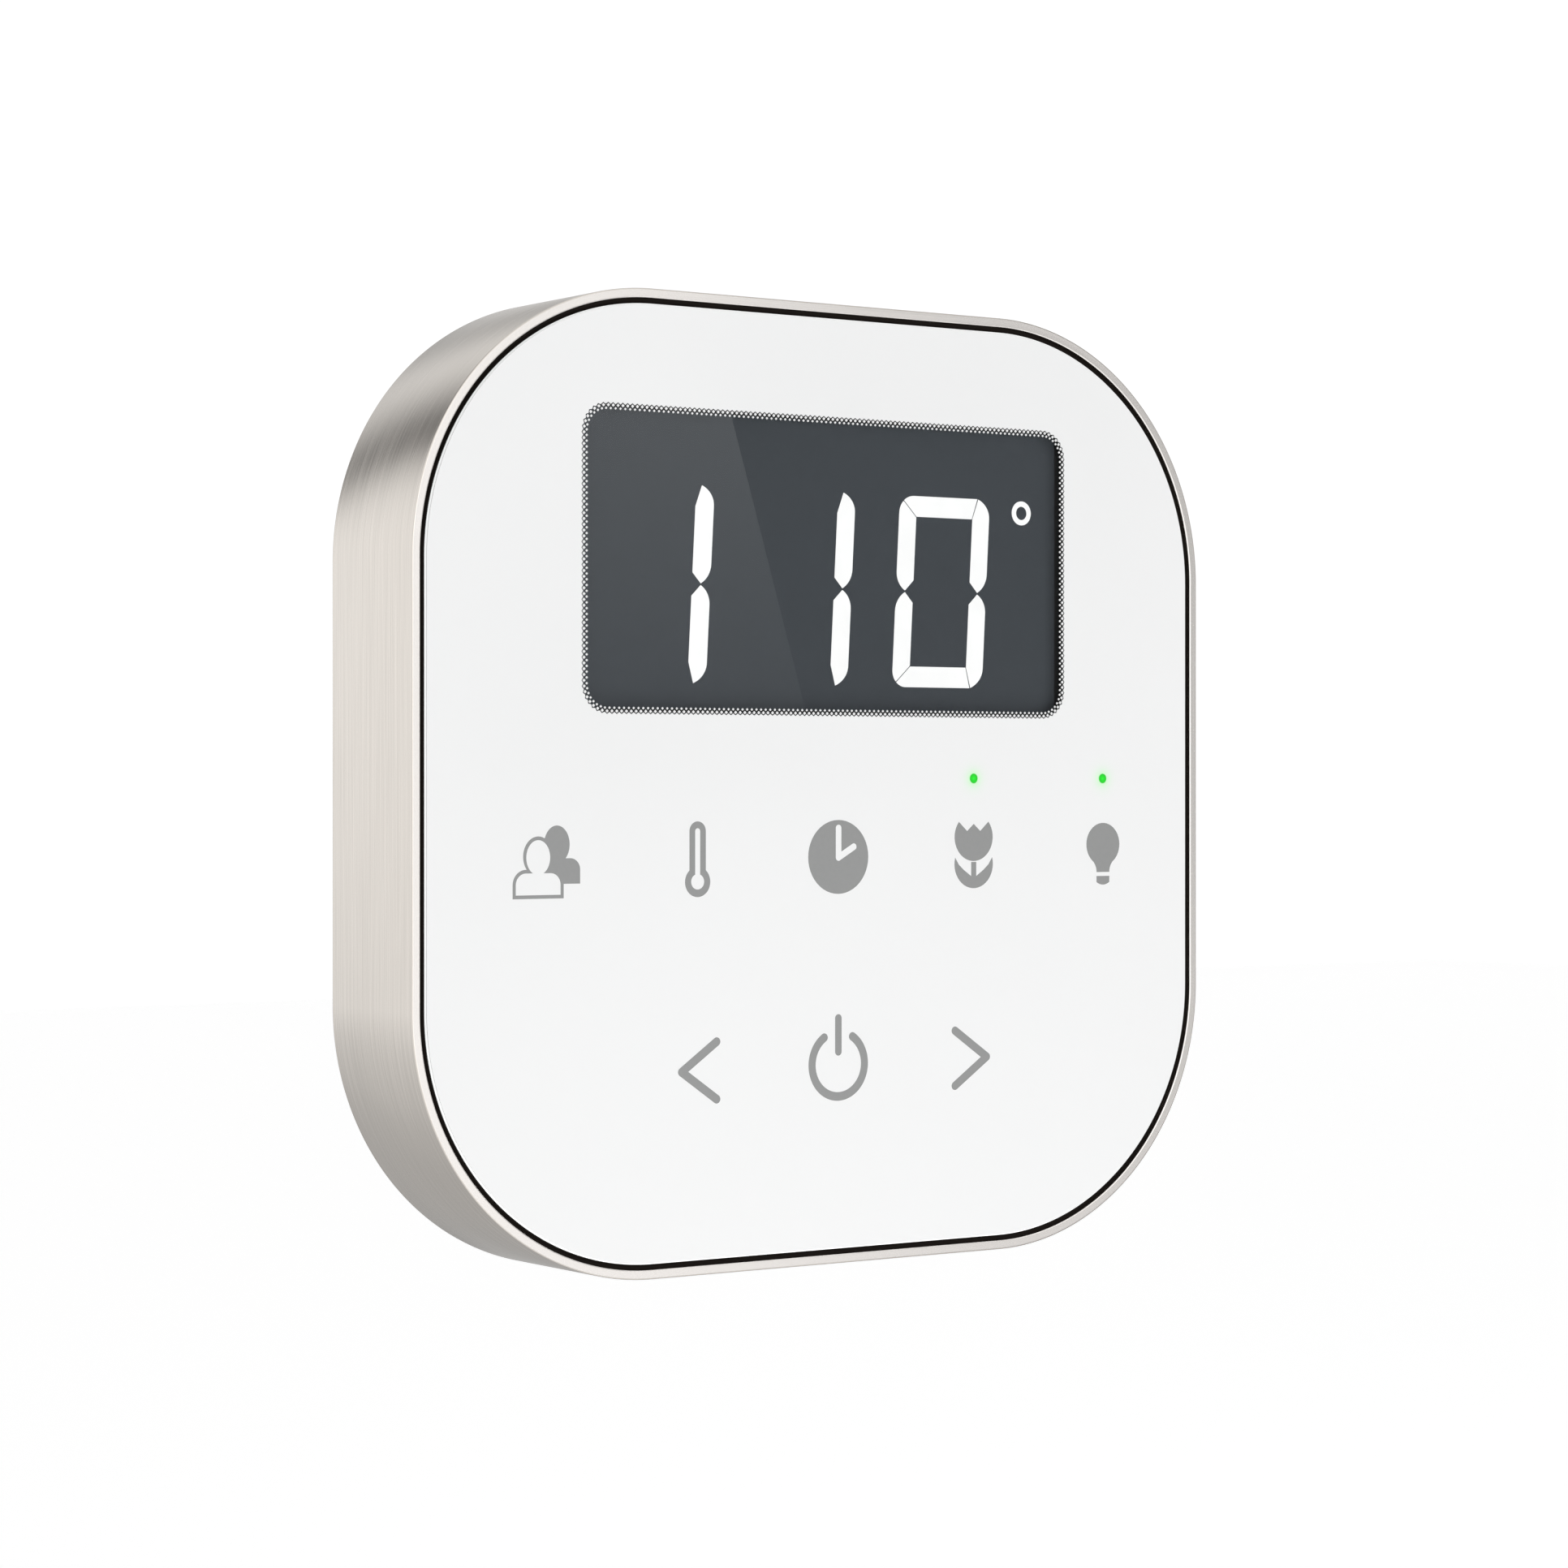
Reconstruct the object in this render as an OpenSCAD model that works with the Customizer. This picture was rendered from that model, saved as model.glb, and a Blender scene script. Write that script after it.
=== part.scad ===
// Wall thermostat: a square touch-glass control that hangs on a magnetic wall plate.
// X is to the right as one faces the wall, Z is up and +Y goes into the wall.
// The wall is the plane y = 0 and the front face is at y = -depth.

/* [Case] */
// Width and height of the case
side = 105; // [105:0.5:108]
// Distance from the wall to the front face
depth = 17.4; // [16.4:0.1:18]
// Outer corner radius of the case
corner_r = 29.2; // [28:0.1:31]
// Width of the rim seen from the front
rim_w = 1; // [0.85:0.05:1.1]
// Height of the rim's crown over its edges
rim_crown = 0.1; // [0.05:0.05:0.2]

/* [Glass] */
// Thickness of the clear glass
glass_t = 0.9; // [0.7:0.1:0.9]
// Thickness of the printed enamel on the glass
enamel_t = 0.1; // [0.05:0.05:0.15]
// Gap between the rim and the glass, filled by the gasket
glass_gap = 0.6; // [0.4:0.05:0.65]
// Width of the bevel round the glass
bevel = 0.15; // [0.1:0.05:0.2]

/* [Display] */
// Width of the clear window
window_w = 64.9; // [60:0.1:66]
// Height of the clear window
window_h = 32.85; // [30:0.05:34]
// Centre of the window, to the right of the middle
window_x = 0.25; // [-1:0.05:1]
// Centre of the window, above the middle
window_z = 23.78; // [23:0.01:25]
// Corner radius of the window
window_r = 3.2; // [2:0.1:4]
// Width of the printed border round the window
border_w = 0.85; // [0.5:0.05:1.2]
// Distance between digit cells
digit_pitch = 18.7; // [17:0.1:19]
// Sideways lean of the digits per unit of height
digit_slant = 0.054; // [0:0.002:0.1]

/* [Keys] */
// Distance between neighbouring touch keys
key_pitch = 18.7; // [17:0.1:19]
// Middle column of keys, to the right of the middle
key_x = 0.9; // [-1:0.1:1]
// Height of the upper key row
key_z = -8; // [-10:0.1:-6]
// Height of the lower key row
lower_key_z = -30.7; // [-33:0.1:-28]
// Height of the indicator lamps
lamp_z = 0.6; // [-1:0.1:2]

/* [Wall plate] */
// Thickness of the wall plate
plate_t = 1.8; // [1.6:0.1:1.8]
// Screw spacing up and down
screw_span_z = 83.3; // [80:0.1:84]
// Screw spacing left to right
screw_span_x = 60.3; // [60:0.1:61]
// Diameter of the wall screw holes
screw_hole_d = 4.2; // [3.8:0.1:4.6]

/* [Battery door] */
// How far the door slides up to unlock
door_travel = 6; // [4:0.5:6]
// Battery diameter
cell_d = 10.5; // [10.2:0.1:10.5]
// Battery length
cell_l = 44.5; // [43:0.1:44.5]

/* [Hidden] */
$fn = 96;
half = side / 2;
front = -depth;
glass_front = front + enamel_t;
glass_back = glass_front + glass_t;
glass_inset = rim_w + glass_gap;
digit_t = 0.05;
tape_t = 0.25;
frame_front = glass_back + tape_t;
web_t = 0.8;
web_back = frame_front + web_t;
ledge_front = -13.2;
ledge_back = -11.8;
ledge_inset = 2.6;
wall_t = 1.2;
ring_back = -0.3;
lcd_w = 64;
lcd_h = 31.8;
lcd_z = 23.85;
lcd_front = glass_back + digit_t;
lcd_t = 1.9;
lcd_back = lcd_front + lcd_t;
light_t = 1.6;
light_back = lcd_back + light_t;
bezel_t = 2.5;
board_front = -11.6;
board_t = 1.6;
board_back = board_front + board_t;
board_inset = 6.5;
board_low = -6;
cover_back = -1.95;
cover_t = 1.55;
cover_front = cover_back - cover_t;
cover_inset = 1.3;
seal_t = 0.8;
tray_floor = -3.7;
tray_t = 1.0;
bay_low = -43;
bay_high = -10.8;
bay_half = 24.9;
cell_y = -9.0;
cell_step = 10.7;
door_half = 25.9;
door_low = -45;
door_high = -9.6;
tab_out = 1.2;
tab_h = 5;
tab_z = [-41, -21];
lip_t = 0.8;
boss_x = 39.5;
boss_z = 33;
boss_r = 3.25;
screw_r = 1.25;
magnet_x = 41;
magnet_z = 14;
magnet_r = 5;
keeper_r = 7;
button_z = 8;
lamp_x = [key_x + key_pitch, key_x + 2 * key_pitch];
post_spots = [[-42, 8], [42, 8], [-42, 27], [42, 27]];
boss_spots = [for (sx = [-1, 1], sz = [-1, 1]) [sx * boss_x, sz * boss_z]];
magnet_spots = [for (sx = [-1, 1], sz = [-1, 1]) [sx * magnet_x, sz * magnet_z]];

// ---- shared shapes ----

// Extrudes a shape drawn in X and Z from y0 to y1.
module slab(y0, y1) {
    translate([0, y1, 0]) rotate([90, 0, 0]) linear_extrude(y1 - y0) children();
}

// A square with round corners, drawn about the origin.
module round_rect(w, h, r) {
    square([w, h - 2 * r], center = true);
    square([w - 2 * r, h], center = true);
    for (sx = [-1, 1], sz = [-1, 1]) translate([sx * (w / 2 - r), sz * (h / 2 - r)]) circle(r);
}

// The case outline, moved inwards by inset.
module outline(inset) {
    round_rect(side - 2 * inset, side - 2 * inset, corner_r - inset);
}

// Carries a profile of [inset, y] points round the case outline.
module sweep_outline(points) {
    profile = [for (p = points) [corner_r - p[0], p[1]]];
    c = half - corner_r;
    rotate([-90, 0, 0]) for (i = [0:3]) rotate(90 * i) translate([c, c, 0]) {
        rotate_extrude(angle = 90) polygon(profile);
        rotate([90, 0, 0]) linear_extrude(2 * c) polygon(profile);
    }
}

// A round bar along Y, centred on spot [x, z].
module rod(spot, r, y0, y1) {
    translate([spot[0], 0, spot[1]]) slab(y0, y1) circle(r);
}

// A box given by its two opposite corners.
module box(low, high) {
    translate(low) cube(high - low);
}

// A straight stroke with round ends.
module stroke(a, b, w) {
    d = b - a;
    translate(a) rotate(atan2(d[1], d[0])) translate([0, -w / 2]) square([norm(d), w]);
    translate(a) circle(w / 2);
    translate(b) circle(w / 2);
}

// Points on an arc or on part of an ellipse.
function arc(c, rx, rz, a0, a1, n = 10) =
    [for (i = [0:n]) let (a = a0 + (a1 - a0) * i / n) [c[0] + rx * cos(a), c[1] + rz * sin(a)]];

// ---- glass and its print ----

module window_shape(inset) {
    translate([window_x, window_z])
        round_rect(window_w - 2 * inset, window_h - 2 * inset, window_r - inset);
}

// Head and shoulders: a body from x0 to x1 and up from z0 to z1, with shoulders of radius r.
module shoulders(x0, x1, z0, z1, r) {
    polygon(concat([[x0, z0]], arc([x0 + r, z1 - r], r, r, 180, 90, 12),
                   arc([x1 - r, z1 - r], r, r, 90, 0, 12), [[x1, z0]]));
}

// Two people: one in outline in front of one filled in.
module people_icon() {
    line = 0.38;
    difference() {
        union() {
            polygon(arc([1.17, 1.7], 1.56, 1.98, 0, 360, 48));
            shoulders(-1, 4.02, -2.42, 0.25, 1.2);
            polygon(arc([-1.1, 0.45], 1.83, 2.1, 0, 360, 48));
            shoulders(-4.2, 2, -3.93, -0.9, 1.6);
        }
        polygon(arc([-1.1, 0.35], 1.83 - line, 1.82, 0, 360, 48));
        shoulders(-4.2 + line, 2 - line, -3.93 + line, -0.9 - line, 1.6 - line);
    }
}

module thermometer_icon() {
    difference() {
        union() {
            stroke([0, 2.95], [0, -2.4], 2.1);
            translate([0, -2.47]) circle(1.62);
        }
        stroke([0, 2.95], [0, -2.4], 0.64);
        translate([0, -2.45]) circle(0.83);
    }
}

module clock_icon() {
    difference() {
        circle(4.05);
        stroke([0.03, -0.05], [0.03, 3.15], 0.76);
        stroke([0.25, 0.07], [2.08, 1.1], 0.74);
    }
}

module tulip_icon() {
    difference() {
        translate([0, 2.03]) circle(2.7);
        polygon([[-2.7, 5], [-2.2, 3.85], [-0.93, 2.7], [0, 3.5], [0.93, 2.7], [2.2, 3.85], [2.7, 5]]);
    }
    difference() {
        translate([0, -1]) circle(2.72);
        polygon([[-2.9, 2], [-2.65, -0.2], [-2.1, -1.05], [-1.4, -1.65], [-0.36, -2.35],
                 [0.36, -2.35], [1.4, -1.65], [2.1, -1.05], [2.65, -0.2], [2.9, 2]]);
    }
    translate([-0.36, -2.5]) square([0.72, 1.73]);
}

module bulb_icon() {
    translate([0, 1.05]) circle(2.45);
    polygon(concat([[-2.06, -0.3]], arc([-3.25, -2.1], 2.3, 1.9, 45, 0, 6), [[-0.95, -2.15], [0.95, -2.15]],
                   arc([3.25, -2.1], 2.3, 1.9, 180, 135, 6), [[2.06, -0.3]]));
    difference() {
        translate([0, -2.0]) circle(1.6);
        translate([-2, -2.6]) square([4, 3]);
        for (s = [-1, 1]) translate([s * 1.97, -3]) square([2.04, 3], center = true);
    }
}

// A chevron with round ends, pointing left.
module arrow_icon() {
    r = 0.475;
    lean_a = 34.5;
    arm = 5.44;
    tip = [-2.39, 0];
    upper = tip + arm * [cos(lean_a), sin(lean_a)];
    lower = tip + arm * [cos(lean_a), -sin(lean_a)];
    polygon(concat(arc(upper, r, r, lean_a + 90, lean_a - 90), [[tip[0] + r / sin(lean_a), 0]],
                   arc(lower, r, r, 90 - lean_a, -90 - lean_a), arc(tip, r, r, -90 - lean_a, lean_a - 270)));
}

// An open ring with round ends and a stroke in its gap.
module power_icon() {
    middle = 3.53;
    r = 0.475;
    gap_a = 32.5;
    cap_a = 20;
    left = 90 + gap_a;
    right = 90 - gap_a;
    polygon(concat(arc([0, 0], middle + r, middle + r, left, right + 360, 72),
                   arc(middle * [cos(right), sin(right)], r, r, right + cap_a, right + 180 - cap_a, 8),
                   arc([0, 0], middle - r, middle - r, right + 360, left, 72),
                   arc(middle * [cos(left), sin(left)], r, r, left + 180 + cap_a, left + 360 - cap_a, 8)));
    stroke([0, 1.38], [0, 5.04], 0.88);
}

module all_icons() {
    translate([key_x - 2 * key_pitch + 0.12, key_z]) people_icon();
    translate([key_x - key_pitch + 0.2, key_z]) thermometer_icon();
    translate([key_x, key_z]) clock_icon();
    translate([key_x + key_pitch, key_z]) tulip_icon();
    translate([key_x + 2 * key_pitch + 0.05, key_z]) bulb_icon();
    translate([key_x - key_pitch + 0.55, lower_key_z]) arrow_icon();
    translate([key_x, lower_key_z]) power_icon();
    translate([key_x + key_pitch - 0.55, lower_key_z]) mirror([1, 0]) arrow_icon();
}

module lamp_dots(r) {
    for (x = lamp_x) translate([x, lamp_z]) circle(r);
}

module face_enamel() {
    color("white") slab(front, glass_front) difference() {
        outline(glass_inset + bevel);
        window_shape(0);
        all_icons();
        lamp_dots(0.55);
    }
}

module touch_icons() {
    color("gray") slab(front, glass_front) all_icons();
}

module window_border() {
    color("dimgray") slab(front, glass_front) difference() {
        window_shape(0);
        window_shape(border_w);
    }
}

module indicator_dots() {
    color("limegreen") slab(front, glass_front) lamp_dots(0.55);
}

module front_glass() {
    color("lightcyan", 0.4) union() {
        slab(glass_front, glass_back) outline(glass_inset + bevel);
        sweep_outline([[glass_inset + bevel, glass_front], [glass_inset, glass_front + bevel],
                       [glass_inset, glass_back], [glass_inset + bevel, glass_back]]);
    }
}

module glass_gasket() {
    color("black") sweep_outline([[rim_w, front + 0.6], [glass_inset, front + 0.6],
                                  [glass_inset, frame_front], [rim_w, frame_front]]);
}

module glass_tape() {
    color("dimgray") slab(glass_back, frame_front) difference() {
        outline(glass_inset + 0.6);
        outline(glass_inset + 2.6);
    }
}

module touch_film() {
    color("khaki") slab(glass_back, glass_back + 0.2) difference() {
        intersection() {
            outline(glass_inset + 2.8);
            translate([0, -20]) square([side, 48], center = true);
        }
        lamp_dots(1.3);
    }
}

module touch_ribbon() {
    color("darkgoldenrod") {
        box([-6, glass_back + 0.2, -9.4], [6, glass_back + 0.3, -6.4]);
        box([-6, glass_back + 0.3, -6.5], [6, board_front - 0.9, -6.4]);
        box([-6, board_front - 1, -6.4], [6, board_front - 0.9, -3.5]);
        box([-7, board_front - 0.9, -5.5], [7, board_front, -3.2]);
    }
}

// ---- case ----

module case_ring() {
    n = 8;
    crown = [for (i = [0:n]) let (t = 2 * i / n - 1)
             [rim_w * i / n, front + rim_crown * t * t]];
    color("silver") sweep_outline(concat(crown, [
        [rim_w, ledge_front], [ledge_inset, ledge_front], [ledge_inset, ledge_back],
        [wall_t, ledge_back], [wall_t, ring_back], [0.3, ring_back], [0, ring_back - 0.3]]));
}

module inner_frame() {
    color("dimgray") difference() {
        union() {
            slab(frame_front, web_back) outline(rim_w + 0.1);
            slab(frame_front, ledge_front) difference() {
                outline(rim_w + 0.1);
                outline(ledge_inset + 1.5);
            }
            slab(ledge_front, -9.5) difference() {
                outline(ledge_inset + 0.15);
                outline(ledge_inset + 1.5);
            }
            for (s = boss_spots) rod(s, boss_r, web_back, -6);
            for (s = post_spots) rod(s, 2.2, web_back, board_front);
        }
        translate([0, 0, lcd_z]) slab(frame_front - 1, web_back + 1)
            round_rect(lcd_w + 2 * bezel_t + 0.3, lcd_h + 2 * bezel_t + 0.3, 2);
        for (x = lamp_x) rod([x, lamp_z], 1.25, frame_front - 1, web_back + 1);
        for (s = boss_spots) rod(s, screw_r + 0.03, -12.8, -5);
        for (s = post_spots) rod(s, 0.83, -14, board_front + 1);
        box([-7, frame_front - 1, -9.8], [7, web_back + 1, -5.9]);
    }
}

module rear_gasket() {
    color("black") sweep_outline([
        [wall_t + 0.1, ledge_back], [ledge_inset - 0.1, ledge_back],
        [ledge_inset - 0.1, ledge_back + seal_t], [wall_t + 0.1, ledge_back + seal_t]]);
}

module rear_cover() {
    y_post = -6;
    color("whitesmoke") difference() {
        union() {
            slab(cover_front, cover_back) outline(cover_inset);
            slab(ledge_back + seal_t, cover_front) difference() {
                outline(cover_inset);
                outline(cover_inset + 1.3);
            }
            // Block that holds the door's track
            box([-28.4, tray_floor - tray_t, -46.4], [28.4, cover_back, -2.2]);
            // Walls of the battery bay
            box([-bay_half - 1, web_back + 0.1, bay_low - 1], [bay_half + 1, cover_front, bay_high + 1]);
            for (s = boss_spots) rod(s, 3.8, y_post, cover_front);
            for (s = magnet_spots) rod(s, magnet_r + 1, cover_back - 3, cover_front);
        }
        // Battery bay, open to the front frame and to the door
        box([-bay_half, web_back, bay_low], [bay_half, 0, bay_high]);
        // Track: full width under the lips, narrower through the back face
        box([-door_half - tab_out - 0.2, tray_floor, door_low - 0.2],
            [door_half + tab_out + 0.2, cover_back - lip_t, door_high + door_travel + 0.2]);
        box([-door_half - 0.2, tray_floor, door_low - 0.2],
            [door_half + 0.2, 0, door_high + door_travel + 0.2]);
        // Gaps in the lips that let the tabs out when the door is up
        for (z = tab_z) box([-door_half - tab_out - 0.2, tray_floor, z + door_travel - 0.3],
                            [door_half + tab_out + 0.2, 0, z + tab_h + door_travel + 0.3]);
        for (s = boss_spots) {
            rod(s, screw_r + 0.15, y_post - 1, 0);
            rod(s, 2.6, cover_back - 1.7, 0);
        }
        for (s = magnet_spots) rod(s, magnet_r + 0.05, cover_back - 2, 0);
        rod([0, button_z], 2.4, -6, 0);
        // Slots for the tails of the end contacts
        for (s = [-1, 1]) translate([s * (bay_half - 0.25), -10.8, bay_high + 0.5])
            cube([0.7, 1.6, 1.4], center = true);
    }
}

module cover_screws() {
    color("silver") for (s = boss_spots) difference() {
        union() {
            rod(s, 2.3, cover_back - 1.7, cover_back - 0.2);
            rod(s, screw_r, cover_back - 9.7, cover_back - 1.7);
        }
        cross_slot(s, cover_back - 0.2, 2.6);
    }
}

// A cross recess, 0.8 deep, in a screw head whose top is at y.
module cross_slot(spot, y, w) {
    translate([spot[0], y, spot[1]]) {
        cube([w, 1.6, 0.5], center = true);
        cube([0.5, 1.6, w], center = true);
    }
}

module magnets() {
    color("gainsboro") for (s = magnet_spots) rod(s, magnet_r, cover_back - 2, cover_back);
}

// ---- display ----

module lcd_panel() {
    color("darkslategray") translate([0, 0, lcd_z]) slab(lcd_front, lcd_back)
        square([lcd_w, lcd_h], center = true);
}

module lcd_bezel() {
    color("black") translate([0, 0, lcd_z]) slab(lcd_front, light_back) difference() {
        round_rect(lcd_w + 2 * bezel_t, lcd_h + 2 * bezel_t, 1.8);
        square([lcd_w + 0.1, lcd_h + 0.1], center = true);
    }
}

module backlight() {
    color("white") translate([0, 0, lcd_z]) slab(lcd_back, light_back)
        square([lcd_w - 1, lcd_h - 1], center = true);
}

module lcd_ribbon() {
    low = lcd_z - lcd_h / 2 - bezel_t;
    color("darkgoldenrod") {
        box([-12, light_back, low - 1.2], [12, light_back + 0.1, lcd_z - lcd_h / 2 + 2]);
        box([-12, light_back + 0.1, low - 1.3], [12, board_front, low - 1.2]);
    }
}

// Leans a list of points to the right.
function lean(points) = [for (p = points) [p[0] + digit_slant * p[1], p[1]]];

// Upper right bar of a digit, about the cell's centre.
upper_bar = concat([[3.95, 1.25], [3.95, 8.35]], arc([3.4, 8.45], 2.9, 2.4, 64, 0),
                   arc([3.9, 2.2], 2.4, 2.4, 0, -61));
// Top bar, with a mitre at the left and a steep joint at the right.
top_bar = concat([[-3.88, 8.35], [-5.6, 10.02]], arc([-4.4, 8.75], 1.9, 1.9, 134, 90, 5),
                 [[4.52, 10.65], [3.84, 8.35]]);
// Upper left bar.
left_bar = concat([[-3.95, 1.25], [-3.95, 8.27], [-5.69, 9.95]], arc([-4.4, 8.75], 1.9, 1.9, 138, 180, 5),
                  arc([-3.9, 2.2], 2.4, 2.4, 180, 241));

function upside_down(points) = [for (p = points) [p[0], -p[1]]];

module digit(bars) {
    for (b = bars) polygon(lean(b));
}

module display_digits() {
    one = [upper_bar, upside_down(upper_bar)];
    zero = concat(one, [top_bar, left_bar, upside_down(top_bar), upside_down(left_bar)]);
    color("white") slab(glass_back, lcd_front) translate([15.8, 21.4]) {
        digit(zero);
        for (k = [1, 2]) translate([-k * digit_pitch, 0]) digit(one);
        translate([11.4, 9.3]) difference() {
            circle(1.36);
            circle(0.76);
        }
    }
}

// ---- electronics ----

module main_board() {
    color("darkgreen") difference() {
        slab(board_front, board_back) intersection() {
            outline(board_inset);
            translate([0, board_low + 30]) square([side, 60], center = true);
        }
        for (s = boss_spots) rod(s, boss_r + 0.6, -20, 0);
        for (s = post_spots) rod(s, 1.1, -20, 0);
    }
}

module board_screws() {
    color("silver") for (s = post_spots) difference() {
        union() {
            rod(s, 1.9, board_back, board_back + 1.2);
            rod(s, 0.8, board_front - 2, board_back);
        }
        cross_slot(s, board_back + 1.2, 2);
    }
}

module light_pipes() {
    color("honeydew") for (x = lamp_x) rod([x, lamp_z], 1.1, glass_back, board_front - 0.9);
}

module status_leds() {
    color("palegreen") for (x = lamp_x)
        box([x - 0.8, board_front - 0.8, lamp_z - 0.6], [x + 0.8, board_front, lamp_z + 0.6]);
}

module processor() {
    color("dimgray") {
        box([-24, board_back, 18], [-14, board_back + 1.2, 28]);
        for (i = [0:7], s = [-1, 1])
            translate([-19 + s * 5.4, board_back + 0.2, 19.5 + i]) cube([1, 0.4, 0.4], center = true);
    }
}

module radio_module() {
    color("silver") {
        box([8, board_back, 30], [28, board_back + 0.8, 44]);
        box([9, board_back + 0.8, 31], [22, board_back + 2.4, 43]);
    }
}

module buzzer() {
    color("black") difference() {
        rod([20, 14], 5, board_back, board_back + 3);
        rod([20, 14], 1, board_back + 2, board_back + 4);
    }
}

module temperature_sensor() {
    color("saddlebrown") {
        box([-31.1, -11, -8.6], [-28.9, board_back, -6.8]);
        for (s = [-1, 1])
            box([-30 + s * 0.6 - 0.2, -10.6, -6.8], [-30 + s * 0.6 + 0.2, board_back, board_low]);
    }
}

module pairing_switch() {
    color("darkgray") difference() {
        box([-3, board_back, button_z - 3], [3, board_back + 3, button_z + 3]);
        rod([0, button_z], 1.7, board_back + 2, board_back + 4);
    }
}

module switch_plunger() {
    color("black") rod([0, button_z], 1.6, board_back + 2.5, board_back + 4);
}

module pairing_button() {
    color("gray") {
        rod([0, button_z], 2.3, cover_front - 0.2, cover_back - 0.65);
        rod([0, button_z], 3.2, cover_front - 1, cover_front - 0.15);
        rod([0, button_z], 1.6, board_back + 4, cover_front - 1);
    }
}

// ---- power ----

module batteries() {
    color("goldenrod") for (i = [-1:1])
        translate([0, cell_y, (bay_low + bay_high) / 2 + i * cell_step]) rotate([0, 90 + 180 * (i % 2), 0]) {
            cylinder(h = cell_l - 1, r = cell_d / 2, center = true);
            translate([0, 0, cell_l / 2 - 0.5]) cylinder(h = 1, r = 1.9, center = true);
        }
}

// A leaf contact: a plate on the bay's end wall with a bump towards the cell.
module leaf(side_x, z) {
    translate([side_x * (bay_half - 0.05), cell_y, z]) {
        translate([-side_x * 0.2, 0, 0]) cube([0.4, 7, 8], center = true);
        translate([-side_x * 1.3, 0, 0]) cube([1.9, 3, 2.2], center = true);
    }
}

module battery_contacts() {
    color("gold") {
        for (i = [-1:1], s = [-1, 1]) leaf(s, (bay_low + bay_high) / 2 + i * cell_step);
        for (s = [-1, 1])
            translate([s * (bay_half - 0.25), -10.8, board_low - 4.25]) cube([0.4, 1.2, 8.5], center = true);
    }
}

module battery_door() {
    color("whitesmoke") difference() {
        union() {
            box([-door_half, tray_floor + 0.05, door_low], [door_half, cover_back, door_high]);
            for (z = tab_z) box([-door_half - tab_out, tray_floor + 0.05, z],
                                [door_half + tab_out, cover_back - lip_t - 0.1, z + tab_h]);
        }
        // Finger grip: three grooves near the upper edge
        for (i = [0:2]) box([-9, cover_back - 0.5, door_high - 5 + 1.4 * i],
                            [9, 0, door_high - 4.3 + 1.4 * i]);
    }
}

// ---- wall plate ----

module wall_plate() {
    plate_inset = wall_t + 0.5;
    color("lightgray") difference() {
        sweep_plate(plate_inset);
        for (s = [-1, 1]) {
            countersunk([0, s * screw_span_z / 2]);
            countersunk([s * screw_span_x / 2, 0]);
        }
        for (s = magnet_spots) rod(s, keeper_r + 0.05, -plate_t - 1, -plate_t + 0.9);
    }
}

// The plate's slab, with its rear edge chamfered.
module sweep_plate(inset) {
    slab(-plate_t, 0) outline(inset + 0.5);
    sweep_outline([[inset + 0.5, -plate_t], [inset, -plate_t + 0.3], [inset, -0.3], [inset + 0.5, 0]]);
}

module countersunk(spot) {
    rod(spot, screw_hole_d / 2, -plate_t - 1, 1);
    translate([spot[0], -plate_t, spot[1]]) rotate([-90, 0, 0])
        cylinder(h = 0.9, r1 = screw_hole_d / 2 + 0.9, r2 = screw_hole_d / 2);
}

module keeper_discs() {
    color("silver") for (s = magnet_spots) rod(s, keeper_r, -plate_t, -plate_t + 0.9);
}

case_ring();
glass_gasket();
front_glass();
face_enamel();
touch_icons();
window_border();
indicator_dots();
glass_tape();
touch_film();
touch_ribbon();
inner_frame();
lcd_panel();
display_digits();
lcd_bezel();
backlight();
lcd_ribbon();
light_pipes();
status_leds();
main_board();
processor();
radio_module();
buzzer();
temperature_sensor();
pairing_switch();
board_screws();
rear_gasket();
rear_cover();
cover_screws();
magnets();
batteries();
battery_contacts();
battery_door();
pairing_button();
switch_plunger();
wall_plate();
keeper_discs();
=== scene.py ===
"""Looks of the wall thermostat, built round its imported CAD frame.

Lengths are metres in the frame's own axes: +X right, +Z up, +Y into the wall. The parts that
show most (the brushed ring, the seal, the glass and its print) are finer meshes of the same
size, and every other CAD node keeps its shape and gets a material.
"""

import math

import bpy
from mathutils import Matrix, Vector, geometry

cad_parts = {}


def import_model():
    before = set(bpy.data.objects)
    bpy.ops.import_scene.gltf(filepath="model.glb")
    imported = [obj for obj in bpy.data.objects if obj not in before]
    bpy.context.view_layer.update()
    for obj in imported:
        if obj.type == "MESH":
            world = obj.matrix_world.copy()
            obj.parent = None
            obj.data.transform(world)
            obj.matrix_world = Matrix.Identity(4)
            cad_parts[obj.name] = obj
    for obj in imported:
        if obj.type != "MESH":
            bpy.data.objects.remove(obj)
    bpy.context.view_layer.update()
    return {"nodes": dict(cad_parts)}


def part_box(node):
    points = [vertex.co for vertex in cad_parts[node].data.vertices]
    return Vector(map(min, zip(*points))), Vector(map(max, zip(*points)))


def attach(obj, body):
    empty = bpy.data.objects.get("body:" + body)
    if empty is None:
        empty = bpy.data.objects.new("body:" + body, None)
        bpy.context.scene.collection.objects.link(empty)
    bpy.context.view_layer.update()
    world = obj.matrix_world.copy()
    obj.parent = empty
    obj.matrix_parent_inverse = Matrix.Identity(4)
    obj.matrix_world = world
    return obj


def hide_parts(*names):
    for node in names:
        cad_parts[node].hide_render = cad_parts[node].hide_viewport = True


MM = 0.001
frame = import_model()
nodes = frame["nodes"]

# ---- sizes, from the frame and from the design ----

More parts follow.
